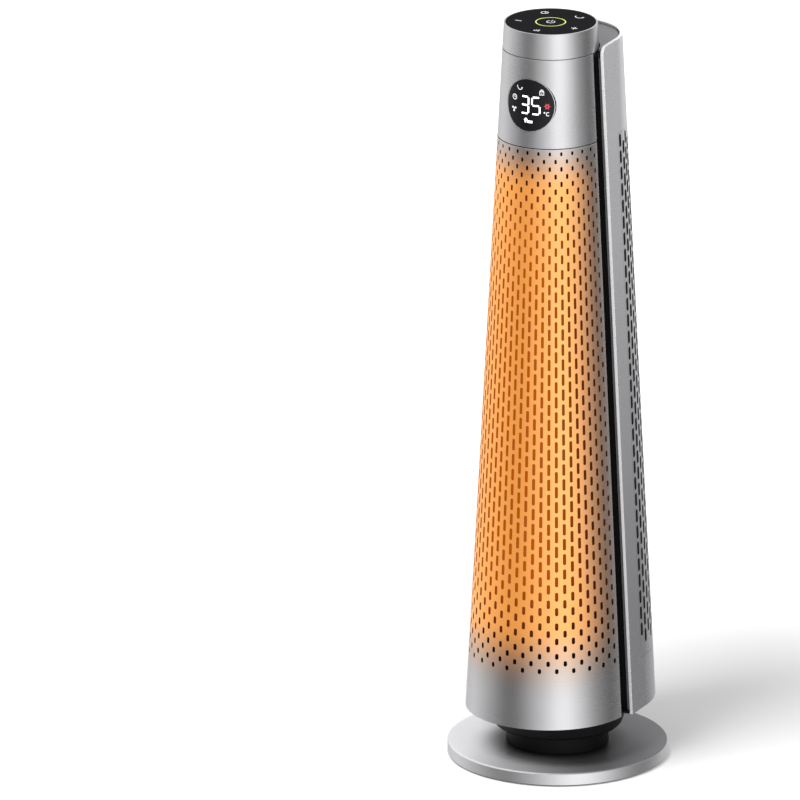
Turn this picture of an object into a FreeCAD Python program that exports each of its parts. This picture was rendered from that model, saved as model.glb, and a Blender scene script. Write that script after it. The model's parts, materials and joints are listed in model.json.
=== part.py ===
import FreeCAD, Part
import Sketcher
import math
import os

V = FreeCAD.Vector
doc = FreeCAD.newDocument("SpaceHeater")
sheet = doc.addObject("Spreadsheet::Sheet", "Dims")

# Driving sizes in millimetres, degrees and counts. Shares have no unit.
SIZES = {
    "total_height": 900.0, "tower_bottom": 66.0, "front_axis_back": 24.0, "front_radius_bottom": 97.5,
    "front_radius_top": 54.5, "front_wall": 2.2, "front_sweep": 172.0, "seam_low": 764.0,
    "seam_high": 870.0, "seam_gap": 1.0, "rear_centre": 22.5, "rear_margin": 7.8, "rear_front": 17.2,
    "rear_wall": 3.5, "rear_top": 874.5, "corner_round": 10.0, "cut_overrun": 20.0, "gap": 0.3,
    "fine_gap": 0.1, "running_gap": 0.05, "base_radius": 129.0, "base_top": 16.0, "base_wall": 3.0,
    "base_skin": 2.0, "base_edge": 1.4, "foot_height": 2.0, "foot_radius": 10.0, "foot_inset": 23.0,
    "tray_gap": 0.5, "tray_thick": 3.0, "weight_inner": 78.0, "weight_inset": 12.0, "weight_thick": 6.0,
    "pedestal_radius": 60.0, "pedestal_top": 36.0, "pedestal_wall": 4.0, "flange_radius": 75.0,
    "flange_thick": 2.8, "post_radius": 18.0, "post_bore": 13.0, "post_top": 80.0, "post_flange": 27.0,
    "collar_radius": 26.0, "collar_thick": 4.6, "thrust_inner": 45.0, "thrust_outer": 57.0,
    "thrust_thick": 1.5, "dish_floor": 37.6, "dish_low_radius": 76.0, "dish_top_radius": 85.0,
    "dish_wall": 3.0, "dish_ledge": 12.0, "dish_slope_wall": 4.2, "dish_hole": 42.0, "dish_lip": 3.0,
    "plate_thick": 3.0, "bush_radius": 22.0, "bush_flange": 28.0, "bush_low": 60.0, "gear_module": 1.25,
    "sun_teeth": 48.0, "pinion_teeth": 16.0, "gear_low": 41.6, "gear_thick": 6.0, "addendum_share": 0.9,
    "dedendum_share": 1.2, "gear_backlash": 0.25, "gear_hub": 24.0, "stub_radius": 2.5,
    "stepper_radius": 14.0, "stepper_low": 50.5, "stub_top": 58.0, "column_angle": 6.2,
    "slot_pitch": 18.0, "slot_first": 758.0, "slot_full": 14.0, "slot_width_share": 0.0445,
    "front_rows": 35.0, "front_columns": 27.0, "dot_share": 1.25, "grow_rows": 12.0, "grow_lead": 1.5,
    "shrink_rows": 9.0, "shrink_lead": 0.5, "vent_low": 127.0, "vent_high": 764.0, "vent_pitch": 19.8,
    "vent_first": 754.0, "vent_length": 15.8, "vent_width": 5.6, "vent_rows": 31.0,
    "vent_columns": 30.0, "panel_wall": 3.0, "panel_lap": 10.0, "filter_thick": 1.5, "filter_sweep": 172.0,
    "filter_lap": 3.0, "guard_thick": 0.8, "guard_gap": 0.5, "grip_low": 803.0, "grip_high": 839.0,
    "grip_half": 58.0, "grip_floor": 41.0, "grip_wall": 2.5, "rail_front": 10.0, "rail_depth": 12.0,
    "rail_inset": 9.0, "rail_wide": 18.0, "seal_front": 13.5, "seal_wide": 4.5, "deck_low": 862.0,
    "deck_thick": 3.0, "lid_drop": 3.0, "lid_thick": 2.5, "lid_gap": 1.2, "lid_post_x": 31.0,
    "lid_post_y": 45.0, "display_z": 815.0, "display_radius": 31.0, "lens_thick": 2.0,
    "bezel_wall": 2.5, "display_board_y": 68.0, "board_thick": 1.6, "digit_half_x": 22.0,
    "digit_half_z": 17.0, "digit_deep": 5.6, "cap_wall": 2.2, "cap_top_wall": 2.6, "cap_ramp": 4.4,
    "touch_inset": 3.3, "panel_share": 0.964, "panel_thick": 2.2, "panel_drop": 0.4, "ring_outer": 17.9,
    "ring_inner": 16.6, "ring_deep": 1.0, "wheel_y": 34.0, "wheel_radius": 30.0, "wheel_low": 150.0,
    "wheel_high": 640.0, "blade_thick": 1.0, "blade_count": 24.0, "disc_thick": 2.5, "disc_count": 6.0,
    "blade_share": 0.76, "bow_share": 0.5, "shaft_radius": 4.0, "shaft_low": 98.0, "shaft_high": 664.0,
    "motor_radius": 31.0, "motor_low": 92.0, "motor_high": 137.0, "duct_low": 139.0, "duct_high": 652.0,
    "duct_thick": 3.0, "bearing_radius": 9.0, "bearing_low": 645.0, "bearing_high": 659.0,
    "duct_half": 52.0, "duct_hole": 8.0, "duct_clear": 0.6, "bearing_flange": 12.6, "scroll_gap": 6.0,
    "scroll_grow": 7.2, "wall_thick": 2.0, "heater_half": 47.0, "heater_front": 64.0,
    "heater_back": 44.0, "heater_low": 158.0, "heater_high": 634.0, "heater_bar": 6.0,
    "heater_foot_inset": 12.0, "strip_inset": 3.0, "strip_wide": 4.0, "strip_count": 5.0,
    "fin_pitch": 8.0, "fin_thick": 0.8, "cutout_radius": 8.0, "cutout_thick": 6.0, "tab_wide": 6.0,
    "tab_long": 10.0, "tab_thick": 1.0, "board_low": 84.0, "board_half": 50.0, "board_front": 100.0,
    "board_back": 52.0, "relay_long": 19.0, "relay_first": 11.4, "relay_pitch": 24.7,
    "relay_back": 15.0, "relay_wide": 15.0, "relay_tall": 20.0, "cap_radius": 7.0, "cap_tall": 24.0,
    "cap_inset": 14.0, "spacer_radius": 4.0, "screw_radius": 1.9, "screw_head": 3.6,
    "screw_head_thick": 2.0, "base_screw_circle": 67.0, "mount_radius": 5.0, "mount_circle": 18.6,
    "gland_radius": 4.0, "gland_bore": 3.1, "gland_height": 9.4, "gland_long": 10.0,
    "gland_flange": 4.3, "tilt_long": 24.0, "tilt_wide": 16.0, "tilt_tall": 12.0, "tilt_front": 40.0,
}
for row, name in enumerate(SIZES, 1):
    sheet.set("A%d" % row, name)
    sheet.set("B%d" % row, repr(SIZES[name]))
    sheet.setAlias("B%d" % row, name)
doc.recompute()


class Size:
    """A number together with the sheet expression that it came from."""

    def __init__(self, value, text):
        self.value = value
        self.text = text

    def join(self, other, sign, value):
        text = other.text if isinstance(other, Size) else repr(other)
        return Size(value, "(%s %s %s)" % (self.text, sign, text))

    def __add__(self, other):
        return self.join(other, "+", self.value + number(other))

    def __sub__(self, other):
        return self.join(other, "-", self.value - number(other))

    def __mul__(self, other):
        return self.join(other, "*", self.value * number(other))

    def __truediv__(self, other):
        return self.join(other, "/", self.value / number(other))

    def __neg__(self):
        return Size(-self.value, "(0 - %s)" % self.text)


def number(size):
    return size.value if isinstance(size, Size) else float(size)


class Dims:
    pass


D = Dims()
for name in SIZES:
    setattr(D, name, Size(SIZES[name], "Dims." + name))
ZERO = D.gap - D.gap
NODES = []


def bind(thing, **sizes):
    for key, size in sizes.items():
        path = key.replace("__", ".")
        if isinstance(size, Size):
            thing.setExpression(path, size.text)
        else:
            thing.setExpression(path, repr(size))


def place(thing, x=ZERO, y=ZERO, z=ZERO):
    bind(thing, Placement__Base__x=x, Placement__Base__y=y, Placement__Base__z=z)
    return thing


def add(kind, label=None):
    thing = doc.addObject(kind, label or "Piece")
    if label:
        thing.Label = label
        NODES.append(thing)
    return thing


def box(x0, x1, y0, y1, z0, z1, label=None):
    thing = add("Part::Box", label)
    bind(thing, Length=x1 - x0, Width=y1 - y0, Height=z1 - z0)
    return place(thing, x0, y0, z0)


def rod(radius, z0, z1, x=ZERO, y=ZERO, label=None):
    thing = add("Part::Cylinder", label)
    bind(thing, Radius=radius, Height=z1 - z0)
    return place(thing, x, y, z0)


def rod_y(radius, y0, y1, x, z, label=None):
    thing = add("Part::Cylinder", label)
    bind(thing, Radius=radius, Height=y1 - y0)
    thing.Placement = FreeCAD.Placement(V(), FreeCAD.Rotation(V(1, 0, 0), -90))
    return place(thing, x, y0, z)


def cone(r0, r1, z0, z1, x=ZERO, y=ZERO, label=None):
    thing = add("Part::Cone", label)
    bind(thing, Radius1=r0, Radius2=r1, Height=z1 - z0)
    return place(thing, x, y, z0)


def wedge(low, high, y0, y1, z0, z1, label=None):
    """A block between z0 and z1 whose x range goes from low to high."""
    thing = add("Part::Wedge", label)
    bind(thing, Xmin=low[0], Xmax=low[1], X2min=high[0], X2max=high[1], Ymin=z0, Ymax=z1)
    bind(thing, Zmin=-y1, Zmax=-y0, Z2min=-y1, Z2max=-y0)
    thing.Placement = FreeCAD.Placement(V(), FreeCAD.Rotation(V(1, 0, 0), 90))
    return thing


def cut(base, tools, label=None):
    for tool in tools:
        result = doc.addObject("Part::Cut", "Cut")
        result.Base = base
        result.Tool = tool
        base = result
    if label:
        base.Label = label
        NODES.append(base)
    return base


def fuse(shapes, label=None):
    thing = add("Part::MultiFuse", label)
    thing.Shapes = shapes
    return thing


def common(first, second, label=None):
    thing = add("Part::Common", label)
    thing.Base = first
    thing.Tool = second
    return thing


def group(shapes, label):
    thing = add("Part::Compound", label)
    thing.Links = shapes
    return thing


def sketch_on(body, plane, points):
    """A closed outline of straight lines whose corners are bound to the sheet."""
    sketch = body.newObject("Sketcher::SketchObject", "Outline")
    support = [item for item in body.Origin.OriginFeatures if item.Role == plane][0]
    sketch.AttachmentSupport = [(support, "")]
    sketch.MapMode = "FlatFace"
    spots = [V(number(a), number(b), 0) for a, b in points]
    count = len(spots)
    lines = [Part.LineSegment(spots[i], spots[(i + 1) % count]) for i in range(count)]
    sketch.addGeometry(lines, False)
    rules = [Sketcher.Constraint("Coincident", i, 2, (i + 1) % count, 1) for i in range(count)]
    sketch.addConstraint(rules)
    for i, (a, b) in enumerate(points):
        for way, size in (("DistanceX", a), ("DistanceY", b)):
            rule = sketch.addConstraint(Sketcher.Constraint(way, -1, 1, i, 1, number(size)))
            if isinstance(size, Size):
                sketch.setExpression("Constraints[%d]" % rule, size.text)
    return sketch


def turned(points, label=None, y=ZERO, sweep=None, facing=0):
    """A body turned about a vertical axis from an outline of radius and height."""
    body = doc.addObject("PartDesign::Body", label or "Turned")
    sketch = sketch_on(body, "XZ_Plane", points)
    turn = body.newObject("PartDesign::Revolution", "Turn")
    turn.Profile = sketch
    turn.ReferenceAxis = (sketch, ["V_Axis"])
    if sweep is None:
        turn.Angle = 360
    else:
        bind(turn, Angle=sweep)
        start = facing - sweep.value / 2
        body.Placement = FreeCAD.Placement(V(), FreeCAD.Rotation(V(0, 0, 1), start))
    if label:
        body.Label = label
        NODES.append(body)
    return place(body, ZERO, y)


def padded(points, z0, z1, label=None):
    body = doc.addObject("PartDesign::Body", label or "Padded")
    sketch = sketch_on(body, "XY_Plane", points)
    pad = body.newObject("PartDesign::Pad", "Pad")
    pad.Profile = sketch
    bind(pad, Length=z1 - z0)
    if label:
        body.Label = label
        NODES.append(body)
    return place(body, ZERO, ZERO, z0)


def solid_feature(shape, label):
    thing = add("Part::Feature", label)
    thing.Shape = shape
    return thing


def front_radius(z):
    drop = (D.front_radius_bottom - D.front_radius_top) / (D.total_height - D.tower_bottom)
    return D.front_radius_bottom - (z - D.tower_bottom) * drop


def rear_half(z):
    return front_radius(z) + D.rear_margin


def ring(inner, outer, z0, z1, label=None, y=ZERO, sweep=None, facing=0):
    outline = [(inner, z0), (outer, z0), (outer, z1), (inner, z1)]
    return turned(outline, label, y, sweep, facing)


def tapered(inset, thick, z0, z1, of, label, y, sweep, facing):
    """A sheet that follows a tapered skin, inset by a set amount."""
    outline = [(of(z0) - inset - thick, z0), (of(z0) - inset, z0),
               (of(z1) - inset, z1), (of(z1) - inset - thick, z1)]
    return turned(outline, label, y, sweep, facing)


def hollow(inset, z0, z1):
    """The space inside the rear skin, inset all round: a half cone and a block."""
    r0 = rear_half(z0) - inset
    r1 = rear_half(z1) - inset
    back = cut(cone(r0, r1, z0, z1, y=D.rear_centre),
               [box(-r0 - D.cut_overrun, r0 + D.cut_overrun, -r0 - D.cut_overrun, D.rear_centre,
                    z0 - D.cut_overrun, z1 + D.cut_overrun)])
    sides = wedge((-r0, r0), (-r1, r1), EDGE, D.rear_centre, z0, z1)
    return fuse([back, sides])


AXIS = -D.front_axis_back
EDGE = -D.rear_front
FRONT = -90
BACK = 90

# Base: tray, feet, weight, cover, pedestal, post and what sits between them.
tray_top = D.foot_height + D.tray_thick
screw_spots = [(math.cos(math.radians(a)), math.sin(math.radians(a))) for a in (45, 135, 225, 315)]
tray = rod(D.base_radius - D.base_wall - D.tray_gap, D.foot_height, tray_top)
holes = []
for c, s in screw_spots:
    x, y = D.base_screw_circle * c, D.base_screw_circle * s
    holes.append(rod(D.screw_radius + D.gap, D.foot_height - D.gap, tray_top + D.gap, x, y))
    holes.append(rod(D.screw_head + D.gap, D.foot_height - D.gap,
                     D.foot_height + D.screw_head_thick, x, y))
cut(tray, holes, "base_bottom")
foot_spots = [(math.cos(math.radians(a)), math.sin(math.radians(a))) for a in range(30, 390, 60)]
foot_circle = D.base_radius - D.foot_inset
group([rod(D.foot_radius, ZERO, D.foot_height, foot_circle * c, foot_circle * s)
       for c, s in foot_spots], "base_feet")
ring(D.weight_inner, D.base_radius - D.weight_inset, tray_top, tray_top + D.weight_thick, "base_weight")
cover_low = D.foot_height - D.gap
skin = D.base_top - D.base_skin
cover = turned([(D.pedestal_radius + D.gap, skin), (D.base_radius - D.base_wall, skin),
                (D.base_radius - D.base_wall, cover_low), (D.base_radius, cover_low),
                (D.base_radius, D.base_top - D.base_edge), (D.base_radius - D.base_edge, D.base_top),
                (D.pedestal_radius + D.gap, D.base_top)])
gland_inner = D.base_radius - D.gland_long
cut(cover, [rod_y(D.gland_radius + D.gap, gland_inner, D.base_radius + D.cut_overrun,
                  ZERO, D.gland_height)], "base_cover")
flange_low = skin - D.flange_thick
inner = D.pedestal_radius - D.pedestal_wall
stand = turned([(inner, flange_low), (D.flange_radius, flange_low), (D.flange_radius, skin - D.gap),
                (D.pedestal_radius, skin - D.gap), (D.pedestal_radius, D.pedestal_top),
                (D.post_radius + D.gap, D.pedestal_top),
                (D.post_radius + D.gap, D.pedestal_top - D.plate_thick),
                (inner, D.pedestal_top - D.plate_thick)])
cut(stand, [rod(D.screw_radius + D.gap, tray_top, D.base_top, D.base_screw_circle * c,
                D.base_screw_circle * s) for c, s in screw_spots], "pedestal")
bolts = []
for c, s in screw_spots:
    x, y = D.base_screw_circle * c, D.base_screw_circle * s
    head = rod(D.screw_head, D.foot_height, D.foot_height + D.screw_head_thick - D.gap, x, y)
    bolts.append(fuse([head, rod(D.screw_radius, D.foot_height, skin - D.gap, x, y)]))
group(bolts, "base_screws")
under = D.pedestal_top - D.plate_thick
turned([(D.post_bore, under - D.plate_thick), (D.post_flange, under - D.plate_thick),
        (D.post_flange, under), (D.post_radius, under), (D.post_radius, D.post_top),
        (D.post_bore, D.post_top)], "swivel_post")
ring(D.post_radius, D.collar_radius, D.post_top - D.collar_thick, D.post_top, "post_collar")
ring(D.thrust_inner, D.thrust_outer, D.pedestal_top, D.pedestal_top + D.thrust_thick, "thrust_ring")
box(-D.tilt_long / 2, D.tilt_long / 2, -D.tilt_front, D.tilt_wide - D.tilt_front,
    tray_top, tray_top + D.tilt_tall, "tilt_switch")
gland = fuse([rod_y(D.gland_radius, gland_inner, D.base_radius, ZERO, D.gland_height),
              rod_y(D.gland_flange, gland_inner, gland_inner + D.base_wall, ZERO, D.gland_height)])
cut(gland, [rod_y(D.gland_bore, gland_inner - D.cut_overrun, D.base_radius + D.cut_overrun,
                  ZERO, D.gland_height)], "cord_gland")


# Gears with involute flanks, thinned by half the backlash on each side.
def gear(teeth, bore, turn, z0, z1):
    module = D.gear_module.value
    pitch = module * teeth / 2
    base = pitch * math.cos(math.radians(20))
    tip = pitch + module * D.addendum_share.value
    root = pitch - module * D.dedendum_share.value
    half = math.pi / teeth / 2 - D.gear_backlash.value / 4 / pitch
    involute = math.tan(math.acos(base / pitch)) - math.acos(base / pitch)
    spots = []
    steps = 5
    for tooth in range(teeth):
        mid = turn + 2 * math.pi * tooth / teeth
        low = max(base, root)
        flank = []
        for i in range(steps + 1):
            radius = low + (tip - low) * i / steps
            press = math.acos(min(1, base / radius))
            flank.append((radius, half + involute - (math.tan(press) - press)))
        if root < base:
            flank.insert(0, (root, flank[0][1]))
        spots += [(r, mid - a) for r, a in flank] + [(r, mid + a) for r, a in reversed(flank)]
    points = [V(r * math.cos(a), r * math.sin(a), 0) for r, a in spots]
    plate = Part.Face(Part.makePolygon(points + points[:1])).extrude(V(0, 0, z1 - z0))
    plate.translate(V(0, 0, z0))
    hole = Part.makeCylinder(bore, 3 * (z1 - z0), V(0, 0, z0 - (z1 - z0)))
    return plate.cut(hole)


sun_count = int(D.sun_teeth.value)
pinion_count = int(D.pinion_teeth.value)
centre = D.gear_module * (D.sun_teeth + D.pinion_teeth) / 2
gear_high = D.gear_low + D.gear_thick
sun = gear(sun_count, D.post_radius.value, math.pi / 2, D.gear_low.value, gear_high.value)
sun_hub = Part.makeCylinder(D.gear_hub.value, D.gear_low.value - D.pedestal_top.value,
                            V(0, 0, D.pedestal_top.value))
sun_hub = sun_hub.cut(Part.makeCylinder(D.post_radius.value, D.post_top.value))
solid_feature(sun.fuse(sun_hub).removeSplitter(), "sun_gear")
pinion_turn = -math.pi / 2 + math.pi / pinion_count
pinion_shape = gear(pinion_count, D.stub_radius.value, pinion_turn, D.gear_low.value, gear_high.value)
pinion = solid_feature(pinion_shape, "pinion_gear")
place(pinion, ZERO, centre)
rod(D.stub_radius, D.gear_low, D.stub_top, ZERO, centre, "pinion_shaft")

# Tower floor group: dish, floor plate, bush, stepper.
dish_top = D.tower_bottom - D.gap
turned([(D.dish_hole, D.dish_floor), (D.dish_low_radius - D.dish_lip, D.dish_floor),
        (D.dish_low_radius, D.dish_floor + D.dish_lip), (D.dish_top_radius, dish_top),
        (D.dish_top_radius - D.dish_ledge, dish_top),
        (D.dish_top_radius - D.dish_ledge, dish_top - D.dish_wall),
        (D.dish_top_radius - D.dish_slope_wall, dish_top - D.dish_wall),
        (D.dish_low_radius - D.dish_wall, D.dish_floor + D.dish_wall),
        (D.dish_hole, D.dish_floor + D.dish_wall)], "swivel_dish")
floor_top = D.tower_bottom + D.plate_thick


def floor_plate(z0, z1, holes, label):
    """A plate that fills the tower's plan inside the front and rear skins."""
    front = cut(cone(front_radius(z0) - D.front_wall - D.gap, front_radius(z1) - D.front_wall - D.gap,
                     z0, z1, y=AXIS),
                [box(-D.base_radius, D.base_radius, EDGE, D.base_radius + D.cut_overrun,
                     z0 - D.cut_overrun, z1 + D.cut_overrun)])
    return cut(fuse([hollow(D.rear_wall + D.gap, z0, z1), front]), holes, label)


floor_plate(D.tower_bottom, floor_top,
            [rod(D.bush_radius + D.gap, D.tower_bottom - D.cut_overrun, floor_top + D.cut_overrun)],
            "tower_floor")
turned([(D.post_radius + D.running_gap, D.bush_low), (D.bush_radius, D.bush_low),
        (D.bush_radius, floor_top), (D.bush_flange, floor_top),
        (D.bush_flange, D.post_top - D.collar_thick - D.gap),
        (D.post_radius + D.running_gap, D.post_top - D.collar_thick - D.gap)], "swivel_bush")
cut(rod(D.stepper_radius, D.stepper_low, D.tower_bottom, ZERO, centre),
    [rod(D.stub_radius + D.running_gap, D.stepper_low - D.gap, D.stub_top + D.gap, ZERO, centre)],
    "swing_motor")

# Side rails and the seals beside them.
deck_high = D.deck_low + D.deck_thick
for side, sign in (("left", -1), ("right", 1)):
    def span(z, near, far):
        a = (rear_half(z) - D.rear_wall - near) * sign
        b = (rear_half(z) - D.rear_wall - far) * sign
        return (b, a) if sign > 0 else (a, b)
    wedge(span(floor_top, D.gap, D.rail_wide), span(D.deck_low, D.gap, D.rail_wide), -D.rail_front,
          D.rail_depth - D.rail_front, floor_top, D.deck_low, "side_rail_" + side)
    wedge(span(floor_top, D.gap, D.seal_wide), span(D.deck_low, D.gap, D.seal_wide), -D.seal_front,
          -D.rail_front, floor_top, D.deck_low, "edge_seal_" + side)


# Perforated skins: flat strips between evenly turned corners, with round-ended slots. A lap adds one more
# strip at each end, on the flat side that runs on from the curve.
def strip_points(radius_of, wall, middle, angles, heights, lap):
    rows = []
    for z in heights:
        row = []
        for r in (radius_of(z), radius_of(z) - wall):
            spots = [V(r * math.cos(a), middle + r * math.sin(a), z) for a in angles]
            if lap:
                spots = [V(r, middle - lap, z)] + spots + [V(-r, middle - lap, z)]
            row.append(spots)
        rows.append(row)
    return rows


def holed(corners, wires):
    rim = Part.makePolygon(corners + corners[:1])
    return Part.makeFace([rim] + wires, "Part::FaceMakerBullseye")


def perforated(radius_of, wall, middle, angles, low, high, slots, lap=0):
    bottom, top = strip_points(radius_of, wall, middle, angles, (low, high), lap)
    last = len(bottom[0]) - 1
    faces = []
    for i in range(last):
        border = [bottom[0][i], bottom[0][i + 1], top[0][i + 1], top[0][i]]
        inside = [bottom[1][i], bottom[1][i + 1], top[1][i + 1], top[1][i]]
        across = (border[1] - border[0]).normalize()
        middle_low = (border[0] + border[1]) * 0.5
        middle_high = (border[2] + border[3]) * 0.5
        up = (middle_high - middle_low).normalize()
        out = across.cross(up)
        deep = (inside[0] - border[0]).dot(out)
        wires = []
        for z, wide, long in slots(i):
            share = (z - low) / (high - low)
            spot = middle_low + (middle_high - middle_low) * share
            r = wide / 2
            a = max(long / 2 - r, r / 50)
            corners = [spot - across * r - up * a, spot + across * r - up * a,
                       spot + across * r + up * a, spot - across * r + up * a]
            edges = [Part.Arc(corners[0], spot - up * (a + r), corners[1]).toShape(),
                     Part.LineSegment(corners[1], corners[2]).toShape(),
                     Part.Arc(corners[2], spot + up * (a + r), corners[3]).toShape(),
                     Part.LineSegment(corners[3], corners[0]).toShape()]
            wires.append(Part.Wire(edges))
        shift = out * deep
        for wire in wires:
            faces += wire.extrude(shift).Faces
        faces.append(holed(border, wires))
        behind = []
        for wire in wires:
            copy = wire.copy()
            copy.translate(shift)
            behind.append(copy)
        faces.append(holed(inside, behind))
        for ring_pair in (bottom, top):
            quad = [ring_pair[0][i], ring_pair[0][i + 1], ring_pair[1][i + 1], ring_pair[1][i]]
            faces.append(Part.Face(Part.makePolygon(quad + quad[:1])))
    for i in (0, last):
        quad = [bottom[0][i], top[0][i], top[1][i], bottom[1][i]]
        faces.append(Part.Face(Part.makePolygon(quad + quad[:1])))
    shell = Part.Shell(faces)
    shell.sewShape()
    solid = Part.Solid(shell.Shells[0] if shell.ShapeType != "Shell" else shell)
    if solid.Volume < 0:
        solid.reverse()
    return solid


def radius_line(of):
    low = of(D.tower_bottom).value
    high = of(D.total_height).value
    z0 = D.tower_bottom.value
    z1 = D.total_height.value
    return lambda z: low + (high - low) * (z - z0) / (z1 - z0)


front_line = radius_line(front_radius)
rear_line = radius_line(rear_half)
columns = int(D.front_columns.value)
step = math.radians(D.column_angle.value)
edge = math.radians(D.front_sweep.value / 2)
turns = [-edge] + [(k - columns / 2) * step for k in range(columns + 1)] + [edge]
side_shares = {0: 0.3, 1: 0.42, 2: 0.52, 3: 0.68, 4: 0.82, 5: 0.94}


def front_slots(strip):
    column = strip - 1
    if column < 0 or column >= columns:
        return []
    found = []
    odd = abs(column - columns // 2) % 2
    beside = side_shares.get(min(column, columns - 1 - column), 1.0)
    rows = int(D.front_rows.value)
    for row in range(rows):
        place_row = row + 0.5 * odd
        z = D.slot_first.value - D.slot_pitch.value * place_row
        wide = D.slot_width_share.value * front_line(z)
        grown = min(1.0, (place_row + D.grow_lead.value) / D.grow_rows.value,
                    (rows + D.shrink_lead.value - place_row) / D.shrink_rows.value)
        dot = wide * D.dot_share.value
        found.append((z, wide, dot + (D.slot_full.value - dot) * max(0.0, min(grown, beside))))
    return found


front_low = D.tower_bottom.value
front_high = D.seam_low.value - D.seam_gap.value / 2
front_angles = [math.radians(FRONT) + a for a in turns]
solid_feature(perforated(front_line, D.front_wall.value, AXIS.value, front_angles,
                         front_low, front_high, front_slots), "front_grille")
vent_columns = int(D.vent_columns.value)
vent_angles = [math.pi * k / vent_columns for k in range(vent_columns + 1)]


def vent_slots(strip):
    found = []
    rows = int(D.vent_rows.value)
    for row in range(rows):
        place_row = row + 0.5 * (strip % 2)
        z = D.vent_first.value - D.vent_pitch.value * place_row
        found.append((z, D.vent_width.value, D.vent_length.value))
    return found


solid_feature(perforated(rear_line, D.panel_wall.value, D.rear_centre.value, vent_angles,
                         D.vent_low.value + D.gap.value, D.vent_high.value - D.gap.value,
                         vent_slots, D.panel_lap.value), "intake_grille")
behind_front = D.front_wall + D.guard_gap
tapered(behind_front, D.guard_thick, floor_top, D.seam_low - D.seam_gap, front_radius, "guard_mesh",
        AXIS, D.front_sweep, FRONT)
tapered(D.rear_wall + D.gap, D.filter_thick, D.vent_low - D.filter_lap, D.vent_high + D.filter_lap, rear_half,
        "intake_filter", D.rear_centre, D.filter_sweep, BACK)

# Rear skin with the window for the intake panel and the hand hole.
outer_rear = hollow(ZERO, D.tower_bottom, D.rear_top)
inner_rear = hollow(D.rear_wall, D.tower_bottom - D.cut_overrun, D.rear_top + D.cut_overrun)
front_clear = box(-rear_half(D.tower_bottom) + D.rear_wall, rear_half(D.tower_bottom) - D.rear_wall,
                  EDGE - D.cut_overrun, EDGE + D.gap, D.tower_bottom - D.cut_overrun,
                  D.rear_top + D.cut_overrun)
wide_half = rear_half(D.tower_bottom) + D.cut_overrun
window = box(-wide_half, wide_half, D.rear_centre - D.panel_lap - D.gap, D.rear_centre + wide_half,
             D.vent_low, D.vent_high)
grip_mid = (D.grip_low + D.grip_high) / 2
grip_round = (D.grip_high - D.grip_low) / 2


def hand_hole(extra, y0, y1):
    flat = D.grip_half - grip_round
    return fuse([box(-flat, flat, y0, y1, D.grip_low - extra, D.grip_high + extra),
                 rod_y(grip_round + extra, y0, y1, -flat, grip_mid),
                 rod_y(grip_round + extra, y0, y1, flat, grip_mid)])


corner = cut(box(-wide_half, wide_half, EDGE - D.cut_overrun, EDGE + D.corner_round,
                 D.rear_top - D.corner_round, D.rear_top + D.cut_overrun), [])
round_tool = add("Part::Cylinder")
bind(round_tool, Radius=D.corner_round, Height=wide_half * 2)
round_tool.Placement = FreeCAD.Placement(V(), FreeCAD.Rotation(V(0, 1, 0), 90))
place(round_tool, -wide_half, EDGE + D.corner_round, D.rear_top - D.corner_round)
corner = cut(corner, [round_tool])
grip_back = D.rear_centre + wide_half
hood_low = D.vent_high
cut(outer_rear, [inner_rear, front_clear, window,
                 box(-wide_half, wide_half, EDGE - D.cut_overrun, grip_back, hood_low,
                     D.rear_top + D.cut_overrun)], "rear_shell")
hood_room = hollow(D.rear_wall, hood_low - D.cut_overrun, D.rear_top + D.cut_overrun)
cut(hollow(ZERO, hood_low, D.rear_top),
    [hood_room, hand_hole(ZERO, D.grip_floor, grip_back), corner], "rear_hood")
cup = cut(hand_hole(D.grip_wall, D.grip_floor - D.grip_wall, grip_back),
          [hand_hole(ZERO, D.grip_floor, grip_back + D.cut_overrun)])
inside_cup = hollow(D.rear_wall + D.gap, D.grip_low - D.cut_overrun, D.grip_high + D.cut_overrun)
common(cup, inside_cup, "grip_cup")

# Top: deck, lid behind the cap, cap ring, panel, light ring, touch board.
floor_plate(D.deck_low, deck_high, [], "top_deck")
lid_high = D.rear_top - D.lid_drop
lid_low = lid_high - D.lid_thick
cap_foot = D.seam_high + D.seam_gap / 2
lid_clear = rod(front_radius(lid_low) + D.lid_gap, lid_low - D.cut_overrun, lid_high + D.cut_overrun, y=AXIS)
lid_front = box(-wide_half, wide_half, EDGE - D.cut_overrun, EDGE + D.corner_round / 2,
                lid_low - D.cut_overrun, lid_high + D.cut_overrun)
lid = cut(hollow(D.rear_wall + D.lid_gap, lid_low, lid_high), [lid_clear, lid_front])
posts = [rod(D.spacer_radius, deck_high, lid_low, x, D.lid_post_y) for x in (-D.lid_post_x, D.lid_post_x)]
fuse([lid] + posts, "rear_lid")
top = D.total_height
panel_radius = front_radius(top) * D.panel_share
ledge = top - D.panel_drop - D.panel_thick - D.fine_gap
inner_foot = front_radius(cap_foot) - D.cap_wall
turned([(inner_foot - D.gap, cap_foot), (front_radius(cap_foot), cap_foot), (front_radius(top), top),
        (panel_radius + D.fine_gap, top), (panel_radius + D.fine_gap, ledge),
        (panel_radius - D.cap_wall, ledge), (panel_radius - D.cap_wall, ledge - D.cap_wall),
        (front_radius(top) - D.cap_top_wall, ledge - D.cap_ramp),
        (inner_foot, cap_foot + D.cap_ramp), (inner_foot - D.cap_wall, cap_foot + D.cap_wall),
        (inner_foot - D.cap_wall, deck_high), (inner_foot - D.gap, deck_high)], "cap_ring", AXIS)
panel_top = top - D.panel_drop
panel_low = panel_top - D.panel_thick
turned([(ZERO, panel_low), (panel_radius, panel_low), (panel_radius, panel_top), (D.ring_outer, panel_top),
        (D.ring_outer, panel_top - D.ring_deep), (D.ring_inner, panel_top - D.ring_deep),
        (D.ring_inner, panel_top), (ZERO, panel_top)], "control_panel", AXIS)
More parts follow.
